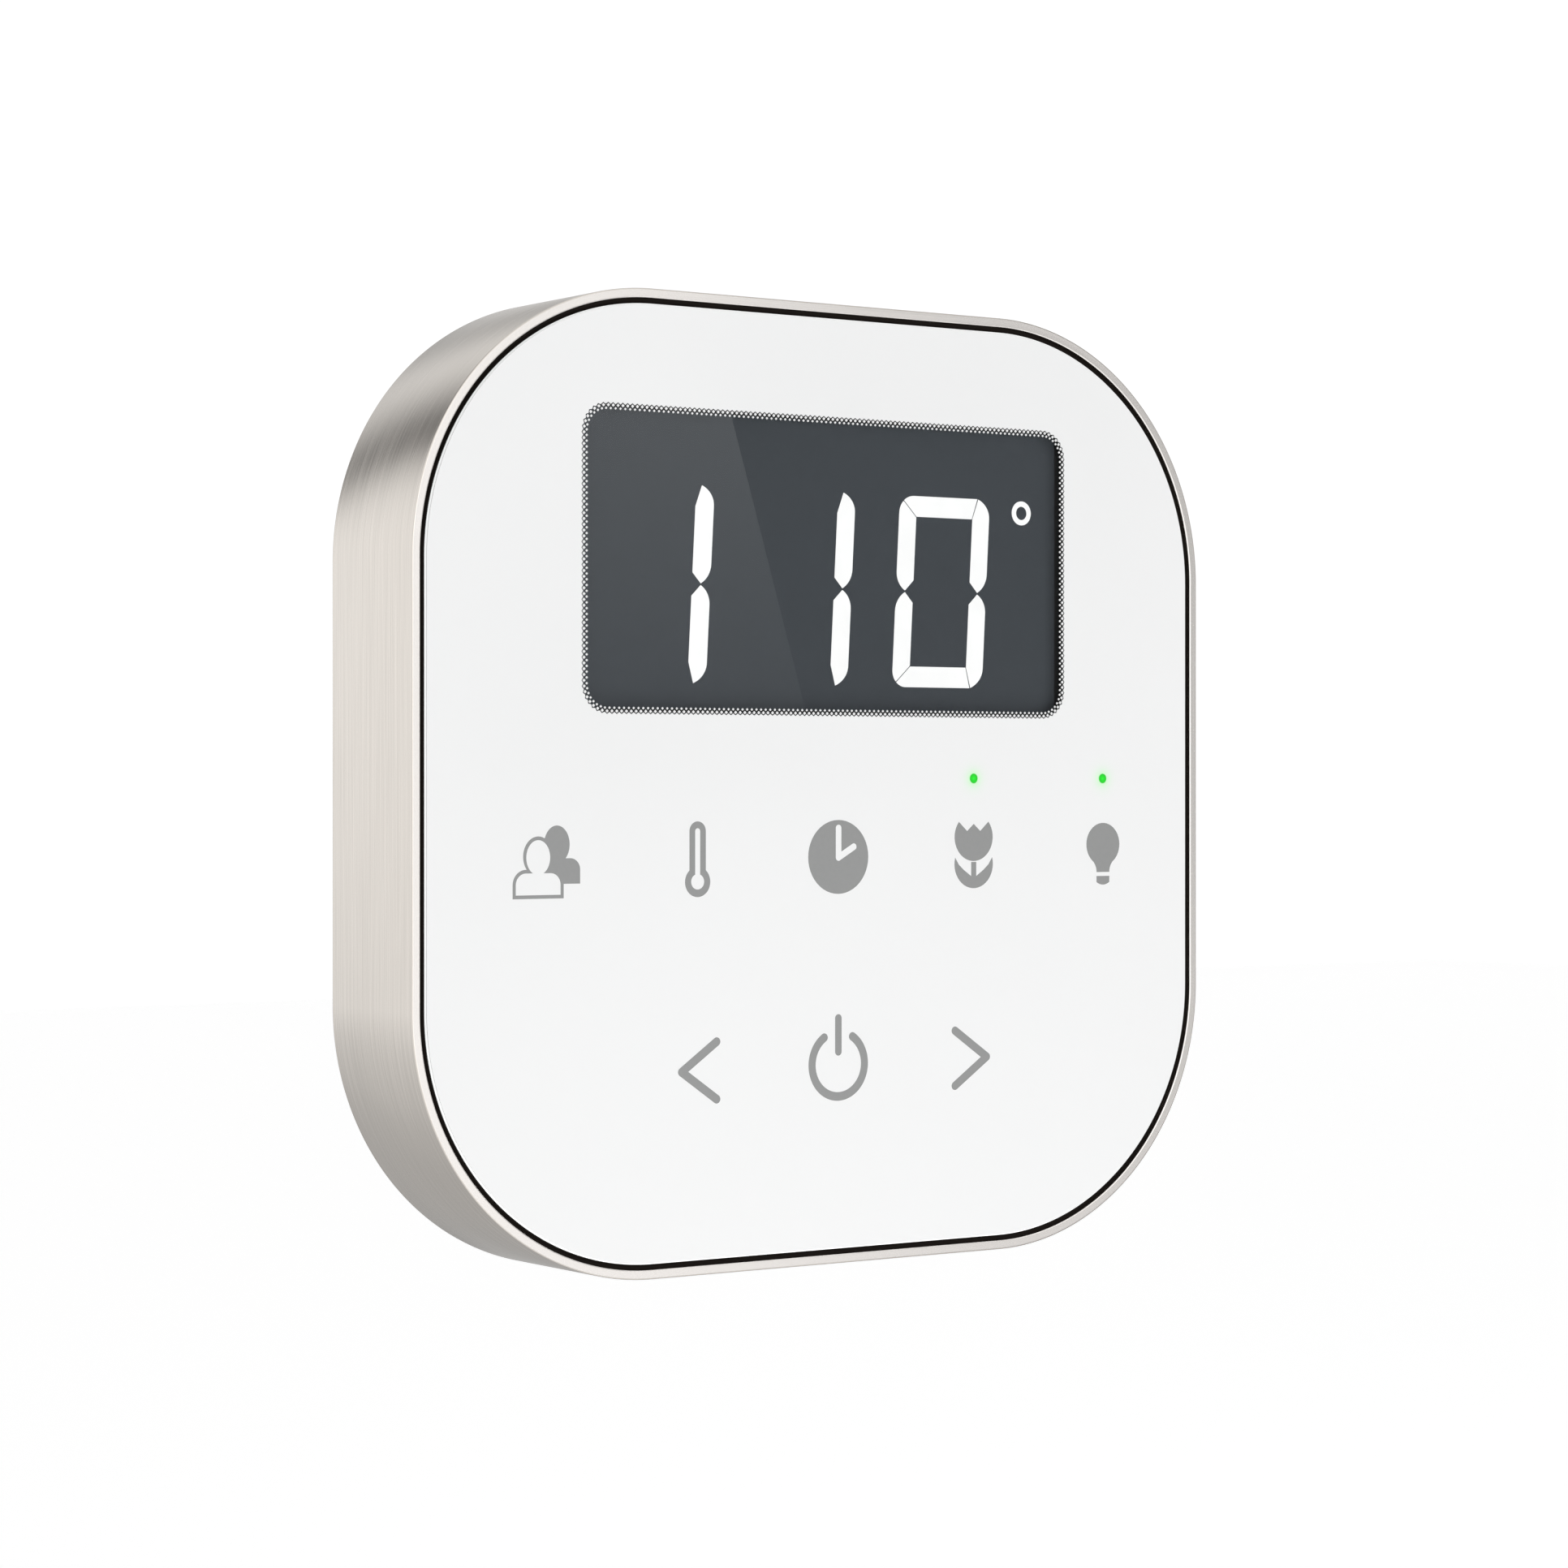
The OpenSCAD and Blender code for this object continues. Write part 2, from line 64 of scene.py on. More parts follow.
RING_LOW, RING_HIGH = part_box("case_ring")
HALF = RING_HIGH.x
FRONT = RING_LOW.y
RING_BACK = RING_HIGH.y
CORNER_R = 29.2 * MM
SEAL_LOW, SEAL_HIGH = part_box("glass_gasket")
RIM_W = HALF - SEAL_HIGH.x
EDGE_R = 0.15 * MM
INNER_EDGE_R = 0.12 * MM
BACK_EDGE_R = 0.3 * MM
# The rim's flat stops this far short of its rounded edges
FLAT_STEP = 0.03 * MM
WALL = 1.2 * MM
WALL_CHAMFER = 0.1 * MM
LEDGE_INSET = 2.6 * MM
LEDGE_FRONT = -13.2 * MM
LEDGE_BACK = -11.8 * MM
GLASS_LOW, GLASS_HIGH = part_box("front_glass")
GLASS_INSET = HALF - GLASS_HIGH.x
GLASS_BACK_GAP = 0.01 * MM
BEVEL = 0.15 * MM
# The seal's front: it stays flat up to one inset from the glass, and reaches its lip at the next
SEAL_RISE = (0.25 * MM, 0.1 * MM)
SEAL_PROUD = 0.02 * MM
LIP_DROP = 0.25 * MM
WINDOW_LOW, WINDOW_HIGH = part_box("window_border")
WINDOW_R = 3.2 * MM
# Dots are counted along a line this far inside the window's edge
ROW_BASE = 0.3 * MM
DOT_PITCH = 0.605 * MM
DOT_SQUARENESS = 0.18
TOOTH_DEPTH = 0.22 * MM
# Rows of white dots inside the window's edge: inset, phase and radius
DOT_ROWS = ((0.33 * MM, 0.0, 0.148 * MM), (0.665 * MM, 0.5, 0.118 * MM))
LAMP_LOW, LAMP_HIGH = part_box("indicator_dots")
LAMP_R = (LAMP_HIGH.z - LAMP_LOW.z) / 2
LAMPS = [(LAMP_LOW.x + LAMP_R, LAMP_LOW.z + LAMP_R), (LAMP_HIGH.x - LAMP_R, LAMP_LOW.z + LAMP_R)]
# Green light in the print round a lamp: its reach, and its strength as tint and as emission
GLOW_REACH = 0.48 * MM
GLOW_TINT = 1.6
GLOW_LIGHT = 0.25
PRINT_STEP = 0.004 * MM


# ---- mesh helpers ----

def outline(inset, half_w=None, half_h=None, radius=CORNER_R, per_corner=64, centre=(0.0, 0.0)):
    """Points (x, z) and outward directions round a rectangle with round corners, anticlockwise."""
    half_w = (half_w or HALF) - inset
    half_h = (half_h or HALF) - inset
    r = radius - inset
    points = []
    for corner, (sx, sz) in enumerate(((1, 1), (-1, 1), (-1, -1), (1, -1))):
        cx = centre[0] + sx * (half_w - r)
        cz = centre[1] + sz * (half_h - r)
        for i in range(per_corner + 1):
            a = math.pi / 2 * (corner + i / per_corner)
            out = (math.cos(a), math.sin(a))
            points.append(((cx + r * out[0], cz + r * out[1]), out))
    return points


def add_object(name, verts, faces, uvs=None, sharp=40):
    """A mesh object with smooth faces, sharp where two faces meet at more than that many degrees."""
    mesh = bpy.data.meshes.new(name)
    mesh.from_pydata(verts, [], faces)
    if uvs:
        layer = mesh.uv_layers.new(name="grain")
        for loop, uv in zip(layer.data, uvs):
            loop.uv = uv
    mesh.validate()
    mesh.shade_smooth()
    mesh.set_sharp_from_angle(angle=math.radians(sharp))
    obj = bpy.data.objects.new(name, mesh)
    bpy.context.scene.collection.objects.link(obj)
    return obj


def sweep(name, profile, per_corner=64, sharp=40):
    """A ring: a closed profile of (inset, y) points carried round the case outline."""
    base = outline(0, per_corner=per_corner)
    n = len(base)
    m = len(profile)
    verts = []
    for inset, y in profile:
        for (x, z), (ox, oz) in base:
            verts.append((x - ox * inset, y, z - oz * inset))
    along = [0.0]
    for i in range(n):
        along.append(along[-1] + math.dist(base[i][0], base[(i + 1) % n][0]))
    across = [0.0]
    for j in range(m):
        across.append(across[-1] + math.dist(profile[j], profile[(j + 1) % m]))
    faces = []
    uvs = []
    for j in range(m):
        k = (j + 1) % m
        for i in range(n):
            ii = (i + 1) % n
            faces.append((j * n + i, j * n + ii, k * n + ii, k * n + i))
            uvs += [(along[i], across[j]), (along[i + 1], across[j]),
                    (along[i + 1], across[j + 1]), (along[i], across[j + 1])]
    return add_object(name, verts, faces, uvs, sharp)


def plate(name, outer, holes, y_front, y_back):
    """A flat sheet of that outline, with holes, between two depths."""
    loops = [outer] + holes
    triangles = geometry.tessellate_polygon([[Vector((x, z, 0)) for x, z in loop] for loop in loops])
    points = [p for loop in loops for p in loop]
    n = len(points)
    verts = [(x, y_front, z) for x, z in points] + [(x, y_back, z) for x, z in points]
    faces = [face_towards(points, t) for t in triangles]
    faces += [tuple(i + n for i in reversed(f)) for f in faces]
    start = 0
    for loop in loops:
        size = len(loop)
        outward = (signed_area(loop) > 0) == (loop is outer)
        for i in range(size):
            a = start + i
            b = start + (i + 1) % size
            quad = (a, b, b + n, a + n)
            faces.append(quad if outward else quad[::-1])
        start += size
    return add_object(name, verts, faces, sharp=30)


def signed_area(loop):
    """Area inside a loop of (x, z) points, positive if it runs anticlockwise."""
    return sum(a[0] * b[1] - b[0] * a[1] for a, b in zip(loop, loop[1:] + loop[:1])) / 2


def face_towards(points, tri):
    """The triangle's corners in the order that faces -Y."""
    area = signed_area([points[i] for i in tri])
    return tuple(tri) if area > 0 else tuple(reversed(tri))


def print_dots(name, centres, y_front, y_back, sides=16):
    """Many small printed dots, drawn out up, down and sideways, in one mesh. Each is (x, z, radius)."""
    verts, faces = [], []
    for x, z, r in centres:
        base = len(verts)
        for y in (y_front, y_back):
            for i in range(sides):
                a = 2 * math.pi * i / sides
                reach = r * (1 + DOT_SQUARENESS * math.cos(4 * a))
                verts.append((x + reach * math.cos(a), y, z + reach * math.sin(a)))
        faces.append(tuple(base + i for i in range(sides)))
        faces.append(tuple(base + sides + i for i in reversed(range(sides))))
        for i in range(sides):
            j = (i + 1) % sides
            faces.append((base + i, base + sides + i, base + sides + j, base + j))
    return add_object(name, verts, faces, sharp=30)


def arc_points(centre, radius, start, end, steps):
    """(inset, y) points on an arc of a profile."""
    angles = [start + (end - start) * i / steps for i in range(steps + 1)]
    return [(centre[0] + radius * math.cos(math.radians(a)),
             centre[1] + radius * math.sin(math.radians(a))) for a in angles]


# ---- material helpers ----

def new_material(name, color, roughness, metallic=0.0):
    """A new material, its node tree and its shader."""
    mat = bpy.data.materials.new(name)
    mat.use_nodes = True
    shader = mat.node_tree.nodes["Principled BSDF"]
    shader.inputs["Base Color"].default_value = (*color, 1)
    shader.inputs["Roughness"].default_value = roughness
    shader.inputs["Metallic"].default_value = metallic
    return mat, mat.node_tree, shader


def add(tree, kind, **settings):
    """A new node with those settings."""
    node = tree.nodes.new(kind)
    for key, value in settings.items():
        setattr(node, key, value)
    return node


def math_node(tree, operation, a, b=0.0, clamp=False):
    """The result of one operation on a and b, each a number or a socket."""
    node = add(tree, "ShaderNodeMath", operation=operation, use_clamp=clamp)
    for socket, value in zip(node.inputs, (a, b)):
        if isinstance(value, (int, float)):
            socket.default_value = value
        else:
            tree.links.new(value, socket)
    return node.outputs[0]


def scaled_coords(tree, scale, kind="Object"):
    """Texture coordinates, stretched along any axis whose scale is small."""
    coords = add(tree, "ShaderNodeTexCoord")
    mapping = add(tree, "ShaderNodeMapping")
    mapping.inputs["Scale"].default_value = scale
    tree.links.new(coords.outputs[kind], mapping.inputs["Vector"])
    return mapping.outputs[0]


def noise(tree, vector, scale, detail=2.0, roughness=0.5):
    """Cloudy noise with that many features to a unit."""
    node = add(tree, "ShaderNodeTexNoise")
    node.inputs["Scale"].default_value = scale
    node.inputs["Detail"].default_value = detail
    node.inputs["Roughness"].default_value = roughness
    tree.links.new(vector, node.inputs["Vector"])
    return node.outputs["Fac"]


def ramp(tree, fac, low, high):
    """A colour or grey that goes from low to high with fac."""
    node = add(tree, "ShaderNodeMix", data_type="RGBA")
    tree.links.new(fac, node.inputs["Factor"])
    node.inputs["A"].default_value = (*low, 1)
    node.inputs["B"].default_value = (*high, 1)
    return node.outputs["Result"]


def spread(tree, fac, low, high):
    """Maps 0.3..0.7, where noise mostly lies, to low..high."""
    node = add(tree, "ShaderNodeMapRange")
    node.inputs["From Min"].default_value = 0.3
    node.inputs["From Max"].default_value = 0.7
    node.inputs["To Min"].default_value = low
    node.inputs["To Max"].default_value = high
    tree.links.new(fac, node.inputs["Value"])
    return node.outputs["Result"]


def bump(tree, shader, height, distance, strength=1.0):
    """Relief of that depth on the shader."""
    node = add(tree, "ShaderNodeBump")
    node.inputs["Strength"].default_value = strength
    node.inputs["Distance"].default_value = distance
    tree.links.new(height, node.inputs["Height"])
    tree.links.new(node.outputs[0], shader.inputs["Normal"])


def shade(color, k):
    """The colour made k times as bright."""
    return tuple(min(1.0, c * k) for c in color)


def moulded(name, color, roughness, grain=0.35 * MM, depth=0.012 * MM, ior=1.5):
    """Moulded plastic or rubber: a fine pebbled skin with slight flow marks."""
    mat, tree, shader = new_material(name, color, roughness)
    shader.inputs["IOR"].default_value = ior
    coords = scaled_coords(tree, (1, 1, 1))
    pebbles = noise(tree, coords, 1 / grain, detail=3)
    flow = noise(tree, coords, 1 / (22 * MM), detail=2)
    tree.links.new(ramp(tree, flow, shade(color, 0.95), shade(color, 1.05)), shader.inputs["Base Color"])
    tree.links.new(spread(tree, pebbles, roughness - 0.06, roughness + 0.06), shader.inputs["Roughness"])
    bump(tree, shader, pebbles, depth)
    return mat


def brushed(name, color, roughness, along=(1, 1, 1)):
    """Metal with a straight grain: the noise is stretched where along is small."""
    mat, tree, shader = new_material(name, color, roughness, metallic=1.0)
    grain = noise(tree, scaled_coords(tree, along), 1 / (0.25 * MM), detail=3)
    cloud = noise(tree, scaled_coords(tree, (1, 1, 1)), 1 / (12 * MM))
    tree.links.new(ramp(tree, grain, shade(color, 0.88), shade(color, 1.06)), shader.inputs["Base Color"])
    tree.links.new(spread(tree, cloud, roughness - 0.05, roughness + 0.08), shader.inputs["Roughness"])
    bump(tree, shader, grain, 0.004 * MM)
    return mat


def glossy_print(name, color, roughness=0.16, ior=1.5):
    """A smooth glossy skin, such as ink on glass or a film, with a fine mottle of colour."""
    mat, tree, shader = new_material(name, color, roughness)
    speckle = noise(tree, scaled_coords(tree, (1, 1, 1)), 1 / (0.5 * MM), detail=2)
    tree.links.new(ramp(tree, speckle, shade(color, 0.97), shade(color, 1.03)), shader.inputs["Base Color"])
    shader.inputs["IOR"].default_value = ior
    return mat


# ---- the visible materials ----

def nickel_material():
    """Brushed nickel: streaks run round the ring, along the first texture direction."""
    color = (0.775, 0.728, 0.675)
    mat, tree, shader = new_material("brushed_nickel", color, 0.3, metallic=1.0)
    fine = noise(tree, scaled_coords(tree, (35, 1 / (0.09 * MM), 1), "UV"), 1.0, detail=3, roughness=0.6)
    broad = noise(tree, scaled_coords(tree, (60, 1 / (0.42 * MM), 1), "UV"), 1.0, detail=2)
    hairs = noise(tree, scaled_coords(tree, (50, 1 / (0.13 * MM), 1), "UV"), 1.0, detail=1)
    hairs = math_node(tree, "MULTIPLY", math_node(tree, "SUBTRACT", hairs, 0.62, clamp=True), 1.6)
    cloud = noise(tree, scaled_coords(tree, (1, 1, 1)), 1 / (16 * MM), detail=2)
    fine_share = math_node(tree, "MULTIPLY", fine, 0.78)
    broad_share = math_node(tree, "MULTIPLY", broad, 0.22)
    streaks = math_node(tree, "ADD", math_node(tree, "ADD", fine_share, broad_share), hairs)
    tree.links.new(ramp(tree, spread(tree, streaks, 0.0, 1.0), shade(color, 0.85), shade(color, 1.12)),
                   shader.inputs["Base Color"])
    rough = math_node(tree, "ADD", spread(tree, streaks, 0.18, 0.28), spread(tree, cloud, -0.02, 0.03))
    tree.links.new(rough, shader.inputs["Roughness"])
    bump(tree, shader, streaks, 0.003 * MM)
    return mat


def rim_material():
    """The polished front edge of the same nickel, painted paler than the side and partly diffuse: a painted
    highlight that brightens the rim.
    """
    color = (0.97, 0.93, 0.895)
    mat, tree, shader = new_material("rim_painted_highlight", color, 0.22, metallic=0.85)
    streaks = noise(tree, scaled_coords(tree, (40, 1 / (0.12 * MM), 1), "UV"), 1.0, detail=2)
    tree.links.new(ramp(tree, streaks, shade(color, 0.97), shade(color, 1.03)), shader.inputs["Base Color"])
    tree.links.new(spread(tree, streaks, 0.2, 0.26), shader.inputs["Roughness"])
    return mat


def near_lamps(tree, reach):
    """1 at the middle of each lamp, falling off with distance."""
    position = add(tree, "ShaderNodeTexCoord").outputs["Object"]
    total = 0.0
    for x, z in LAMPS:
        away = add(tree, "ShaderNodeVectorMath", operation="DISTANCE")
        tree.links.new(position, away.inputs[0])
        away.inputs[1].default_value = (x, FRONT, z)
        ratio = math_node(tree, "DIVIDE", away.outputs["Value"], -reach)
        total = math_node(tree, "ADD", math_node(tree, "EXPONENT", ratio), total)
    return total


def enamel_material():
    """White enamel under polish, faintly lit green round each lamp."""
    color = (0.755, 0.758, 0.758)
    mat, tree, shader = new_material("white_enamel", color, 0.12)
    shader.inputs["IOR"].default_value = 1.5
    coords = scaled_coords(tree, (1, 1, 1))
    tone = noise(tree, coords, 1 / (30 * MM), detail=2)
    smear = noise(tree, coords, 1 / (9 * MM), detail=3)
    tree.links.new(spread(tree, smear, 0.1, 0.14), shader.inputs["Roughness"])
    glow = near_lamps(tree, GLOW_REACH)
    tint = add(tree, "ShaderNodeMix", data_type="RGBA")
    tree.links.new(math_node(tree, "MULTIPLY", glow, GLOW_TINT, clamp=True), tint.inputs["Factor"])
    tree.links.new(ramp(tree, tone, shade(color, 0.99), shade(color, 1.01)), tint.inputs["A"])
    tint.inputs["B"].default_value = (0.33, 0.78, 0.31, 1)
    tree.links.new(tint.outputs["Result"], shader.inputs["Base Color"])
    shader.inputs["Emission Color"].default_value = (0.02, 0.9, 0.04, 1)
    light = math_node(tree, "MULTIPLY", glow, GLOW_LIGHT)
    tree.links.new(light, shader.inputs["Emission Strength"])
    return mat


def lit_material(name, color, strength, body=(0.8, 0.8, 0.8)):
    """Something that glows, a little uneven. The digits are lit from behind; the glass bevel's glow is a
    painted highlight.
    """
    mat, tree, shader = new_material(name, body, 0.3)
    shader.inputs["Emission Color"].default_value = (*color, 1)
    uneven = noise(tree, scaled_coords(tree, (1, 1, 1)), 1 / (3 * MM))
    level = spread(tree, uneven, strength * 0.98, strength * 1.02)
    tree.links.new(level, shader.inputs["Emission Strength"])
    return mat


def lamp_material():
    """A green lamp behind a tinted spot, brightest in the middle."""
    mat, tree, shader = new_material("green_glow", (0.01, 0.06, 0.01), 0.3)
    shader.inputs["Emission Color"].default_value = (0.0, 0.85, 0.01, 1)
    tree.links.new(near_lamps(tree, 2 * LAMP_R), shader.inputs["Emission Strength"])
    return mat


def clear_glass_material():
    """The front of a clear pane: a sharp reflection, stronger at a glance, over what lies behind it."""
    mat = bpy.data.materials.new("clear_glass")
    mat.use_nodes = True
    tree = mat.node_tree
    tree.nodes.remove(tree.nodes["Principled BSDF"])
    clear = add(tree, "ShaderNodeBsdfTransparent")
    clear.inputs["Color"].default_value = (0.985, 0.99, 0.988, 1)
    shine = add(tree, "ShaderNodeBsdfGlossy")
    shine.inputs["Roughness"].default_value = 0.0
    facing = add(tree, "ShaderNodeLayerWeight").outputs["Facing"]
    glance = math_node(tree, "MULTIPLY", math_node(tree, "POWER", facing, 5.0), 0.96)
    mix = add(tree, "ShaderNodeMixShader")
    tree.links.new(math_node(tree, "ADD", glance, 0.042), mix.inputs[0])
    tree.links.new(clear.outputs[0], mix.inputs[1])
    tree.links.new(shine.outputs[0], mix.inputs[2])
    tree.links.new(mix.outputs[0], tree.nodes["Material Output"].inputs["Surface"])
    return mat


def pane_back_material():
    """The back of the pane, coated so that it has no reflection of its own."""
    mat = bpy.data.materials.new("pane_back")
    mat.use_nodes = True
    tree = mat.node_tree
    tree.nodes.remove(tree.nodes["Principled BSDF"])
    clear = add(tree, "ShaderNodeBsdfTransparent")
    tint = noise(tree, scaled_coords(tree, (1, 1, 1)), 1 / (20 * MM))
    tree.links.new(ramp(tree, tint, (0.985, 0.99, 0.99), (0.995, 0.995, 0.99)), clear.inputs["Color"])
    tree.links.new(clear.outputs[0], tree.nodes["Material Output"].inputs["Surface"])
    return mat


def board_material():
    """Green solder mask over copper traces."""
    green = (0.012, 0.13, 0.055)
    mat, tree, shader = new_material("green_board", green, 0.35)
    coords = scaled_coords(tree, (1, 1, 1))
    cells = add(tree, "ShaderNodeTexBrick")
    cells.inputs["Scale"].default_value = 1 / (4 * MM)
    cells.inputs["Mortar Size"].default_value = 0.06
    swap = add(tree, "ShaderNodeVectorRotate", rotation_type="X_AXIS")
    swap.inputs["Angle"].default_value = math.pi / 2
    tree.links.new(coords, swap.inputs["Vector"])
    tree.links.new(swap.outputs[0], cells.inputs["Vector"])
    tree.links.new(ramp(tree, cells.outputs["Fac"], green, (0.03, 0.24, 0.10)), shader.inputs["Base Color"])
    bump(tree, shader, cells.outputs["Fac"], 0.02 * MM)
    return mat


def battery_material():
    """A plain dark sleeve with a copper-coloured band at each end."""
    mat, tree, shader = new_material("cell_label", (0.05, 0.05, 0.06), 0.3)
    split = add(tree, "ShaderNodeSeparateXYZ")
    tree.links.new(scaled_coords(tree, (1, 1, 1)), split.inputs[0])
    along = math_node(tree, "ABSOLUTE", split.outputs["X"])
    band = math_node(tree, "GREATER_THAN", along, 14 * MM)
    tree.links.new(ramp(tree, band, (0.05, 0.05, 0.06), (0.55, 0.26, 0.11)), shader.inputs["Base Color"])
    metal = math_node(tree, "MULTIPLY", band, 0.8)
    tree.links.new(metal, shader.inputs["Metallic"])
    scuffs = noise(tree, scaled_coords(tree, (1, 1, 1)), 1 / (2 * MM), detail=4)
    tree.links.new(spread(tree, scuffs, 0.25, 0.4), shader.inputs["Roughness"])
    return mat


# ---- the fine meshes ----

def brushed_ring():
    """The nickel ring: a flat polished rim between rounded edges, and a rounded back edge."""
    side = arc_points((EDGE_R, FRONT + EDGE_R), EDGE_R, 180, 270, 6)
    rim = [(inset, FRONT) for inset in (EDGE_R + FLAT_STEP, RIM_W - INNER_EDGE_R - FLAT_STEP)]
    rim += arc_points((RIM_W - INNER_EDGE_R, FRONT + INNER_EDGE_R), INNER_EDGE_R, 270, 345, 5)
    inner = [(RIM_W, FRONT + INNER_EDGE_R), (RIM_W, LEDGE_FRONT), (LEDGE_INSET, LEDGE_FRONT),
             (LEDGE_INSET, LEDGE_BACK), (WALL, LEDGE_BACK), (WALL, RING_BACK - WALL_CHAMFER),
             (WALL - WALL_CHAMFER, RING_BACK)]
    back = arc_points((BACK_EDGE_R, RING_BACK - BACK_EDGE_R), BACK_EDGE_R, 90, 180, 5)
    profile = side + rim + inner + back
    ring = sweep("brushed_ring", profile, per_corner=96, sharp=25)
    ring.data.materials.append(nickel_material())
    # The second material, on the rim's rows, is the paler nickel: a painted highlight.
    ring.data.materials.append(rim_material())
    # The sweep makes one row of faces for each profile point, in order
    per_row = len(ring.data.polygons) // len(profile)
    for row in range(len(side) - 1, len(side) + len(rim) - 1):
        for i in range(row * per_row, (row + 1) * per_row):
            ring.data.polygons[i].material_index = 1
    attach(ring, "control")
    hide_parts("case_ring")


def gap_seal():
    """The black seal in the gap. Its front climbs from the rim to a lip against the glass."""
    front = SEAL_LOW.y
    back = SEAL_HIGH.y
    lip = GLASS_LOW.y + LIP_DROP
    profile = [(RIM_W, front), (GLASS_INSET - SEAL_RISE[0], front - SEAL_PROUD),
               (GLASS_INSET - SEAL_RISE[1], lip), (GLASS_INSET, lip), (GLASS_INSET, back),
               (RIM_W, back)]
    seal = sweep("gap_seal", profile, per_corner=64)
    rubber = moulded("black_rubber", (0.013, 0.0105, 0.009), 0.6, grain=0.15 * MM, ior=1.1)
    seal.data.materials.append(rubber)
    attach(seal, "control")
    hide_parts("glass_gasket")


def glass_sheet():
    """The clear sheet with a ground edge and a bevel that glows as a painted highlight."""
    front = GLASS_LOW.y
    back = GLASS_HIGH.y - GLASS_BACK_GAP
    face = [p for p, _ in outline(GLASS_INSET + BEVEL, per_corner=64)]
    rim = [p for p, _ in outline(GLASS_INSET, per_corner=64)]
    n = len(face)
    verts = [(x, front, z) for x, z in face] + [(x, front + BEVEL, z) for x, z in rim]
    verts += [(x, back, z) for x, z in rim]
    faces = [tuple(range(n)), tuple(2 * n + i for i in reversed(range(n)))]
    for i in range(n):
        j = (i + 1) % n
        faces.append((i, n + i, n + j, j))
        faces.append((n + i, 2 * n + i, 2 * n + j, n + j))
    sheet = add_object("glass_sheet", verts, faces, sharp=20)
    sheet.data.materials.append(clear_glass_material())
    sheet.data.materials.append(pane_back_material())
    # The bevel glows white with emission: a painted highlight along the glass edge.
    sheet.data.materials.append(lit_material("bevel_painted_highlight", (0.97, 1.0, 0.99), 0.3, (0.88, 0.89, 0.885)))
    ground = moulded("ground_edge", (0.5, 0.515, 0.51), 0.45, grain=0.1 * MM, depth=0.004 * MM)
    sheet.data.materials.append(ground)
    # Faces: the front, the back, then bevel and edge by turns
    sheet.data.polygons[1].material_index = 1
    for i, polygon in enumerate(list(sheet.data.polygons)[2:]):
        polygon.material_index = 2 + i % 2
    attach(sheet, "control")
    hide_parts("front_glass")


def window_row(inset, phase):
    """Points at one pitch along the window's edge, moved inwards by inset."""
    centre = ((WINDOW_LOW.x + WINDOW_HIGH.x) / 2, (WINDOW_LOW.z + WINDOW_HIGH.z) / 2)
    half_w = (WINDOW_HIGH.x - WINDOW_LOW.x) / 2
    half_h = (WINDOW_HIGH.z - WINDOW_LOW.z) / 2
    base = outline(ROW_BASE, half_w, half_h, WINDOW_R, 48, centre)
    lengths = [math.dist(base[i][0], base[(i + 1) % len(base)][0]) for i in range(len(base))]
    total = sum(lengths)
    count = round(total / DOT_PITCH)
    step = total / count
    row = []
    i = 0
    done = 0.0
    for k in range(count):
        target = (k + phase) * step
        while done + lengths[i] < target:
            done += lengths[i]
            i += 1
        t = (target - done) / lengths[i]
        after = base[(i + 1) % len(base)]
        place, outward = (Vector(a).lerp(Vector(b), t) for a, b in zip(base[i], after))
        row.append(tuple(place + outward * (ROW_BASE - inset)))
    return row


def face_print():
    """The white print, whose window edge is toothed, and the white dots inside that edge."""
    tips = window_row(0.0, 0.0)
    valleys = window_row(TOOTH_DEPTH, 0.5)
    teeth = [p for pair in zip(tips, valleys) for p in pair]
    outer = [p for p, _ in outline(GLASS_INSET + BEVEL, per_corner=64)]
    white = enamel_material()
    face = plate("white_face", outer, [teeth[::-1]], FRONT + PRINT_STEP, GLASS_LOW.y)
    face.data.materials.append(white)
    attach(face, "control")
    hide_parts("face_enamel")
    dots = [(x, z, radius) for inset, phase, radius in DOT_ROWS for x, z in window_row(inset, phase)]
    border = print_dots("window_dots", dots, FRONT + PRINT_STEP, GLASS_LOW.y - PRINT_STEP)
    border.data.materials.append(white)
    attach(border, "control")
    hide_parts("window_border")


# ---- materials of the CAD nodes that stay ----

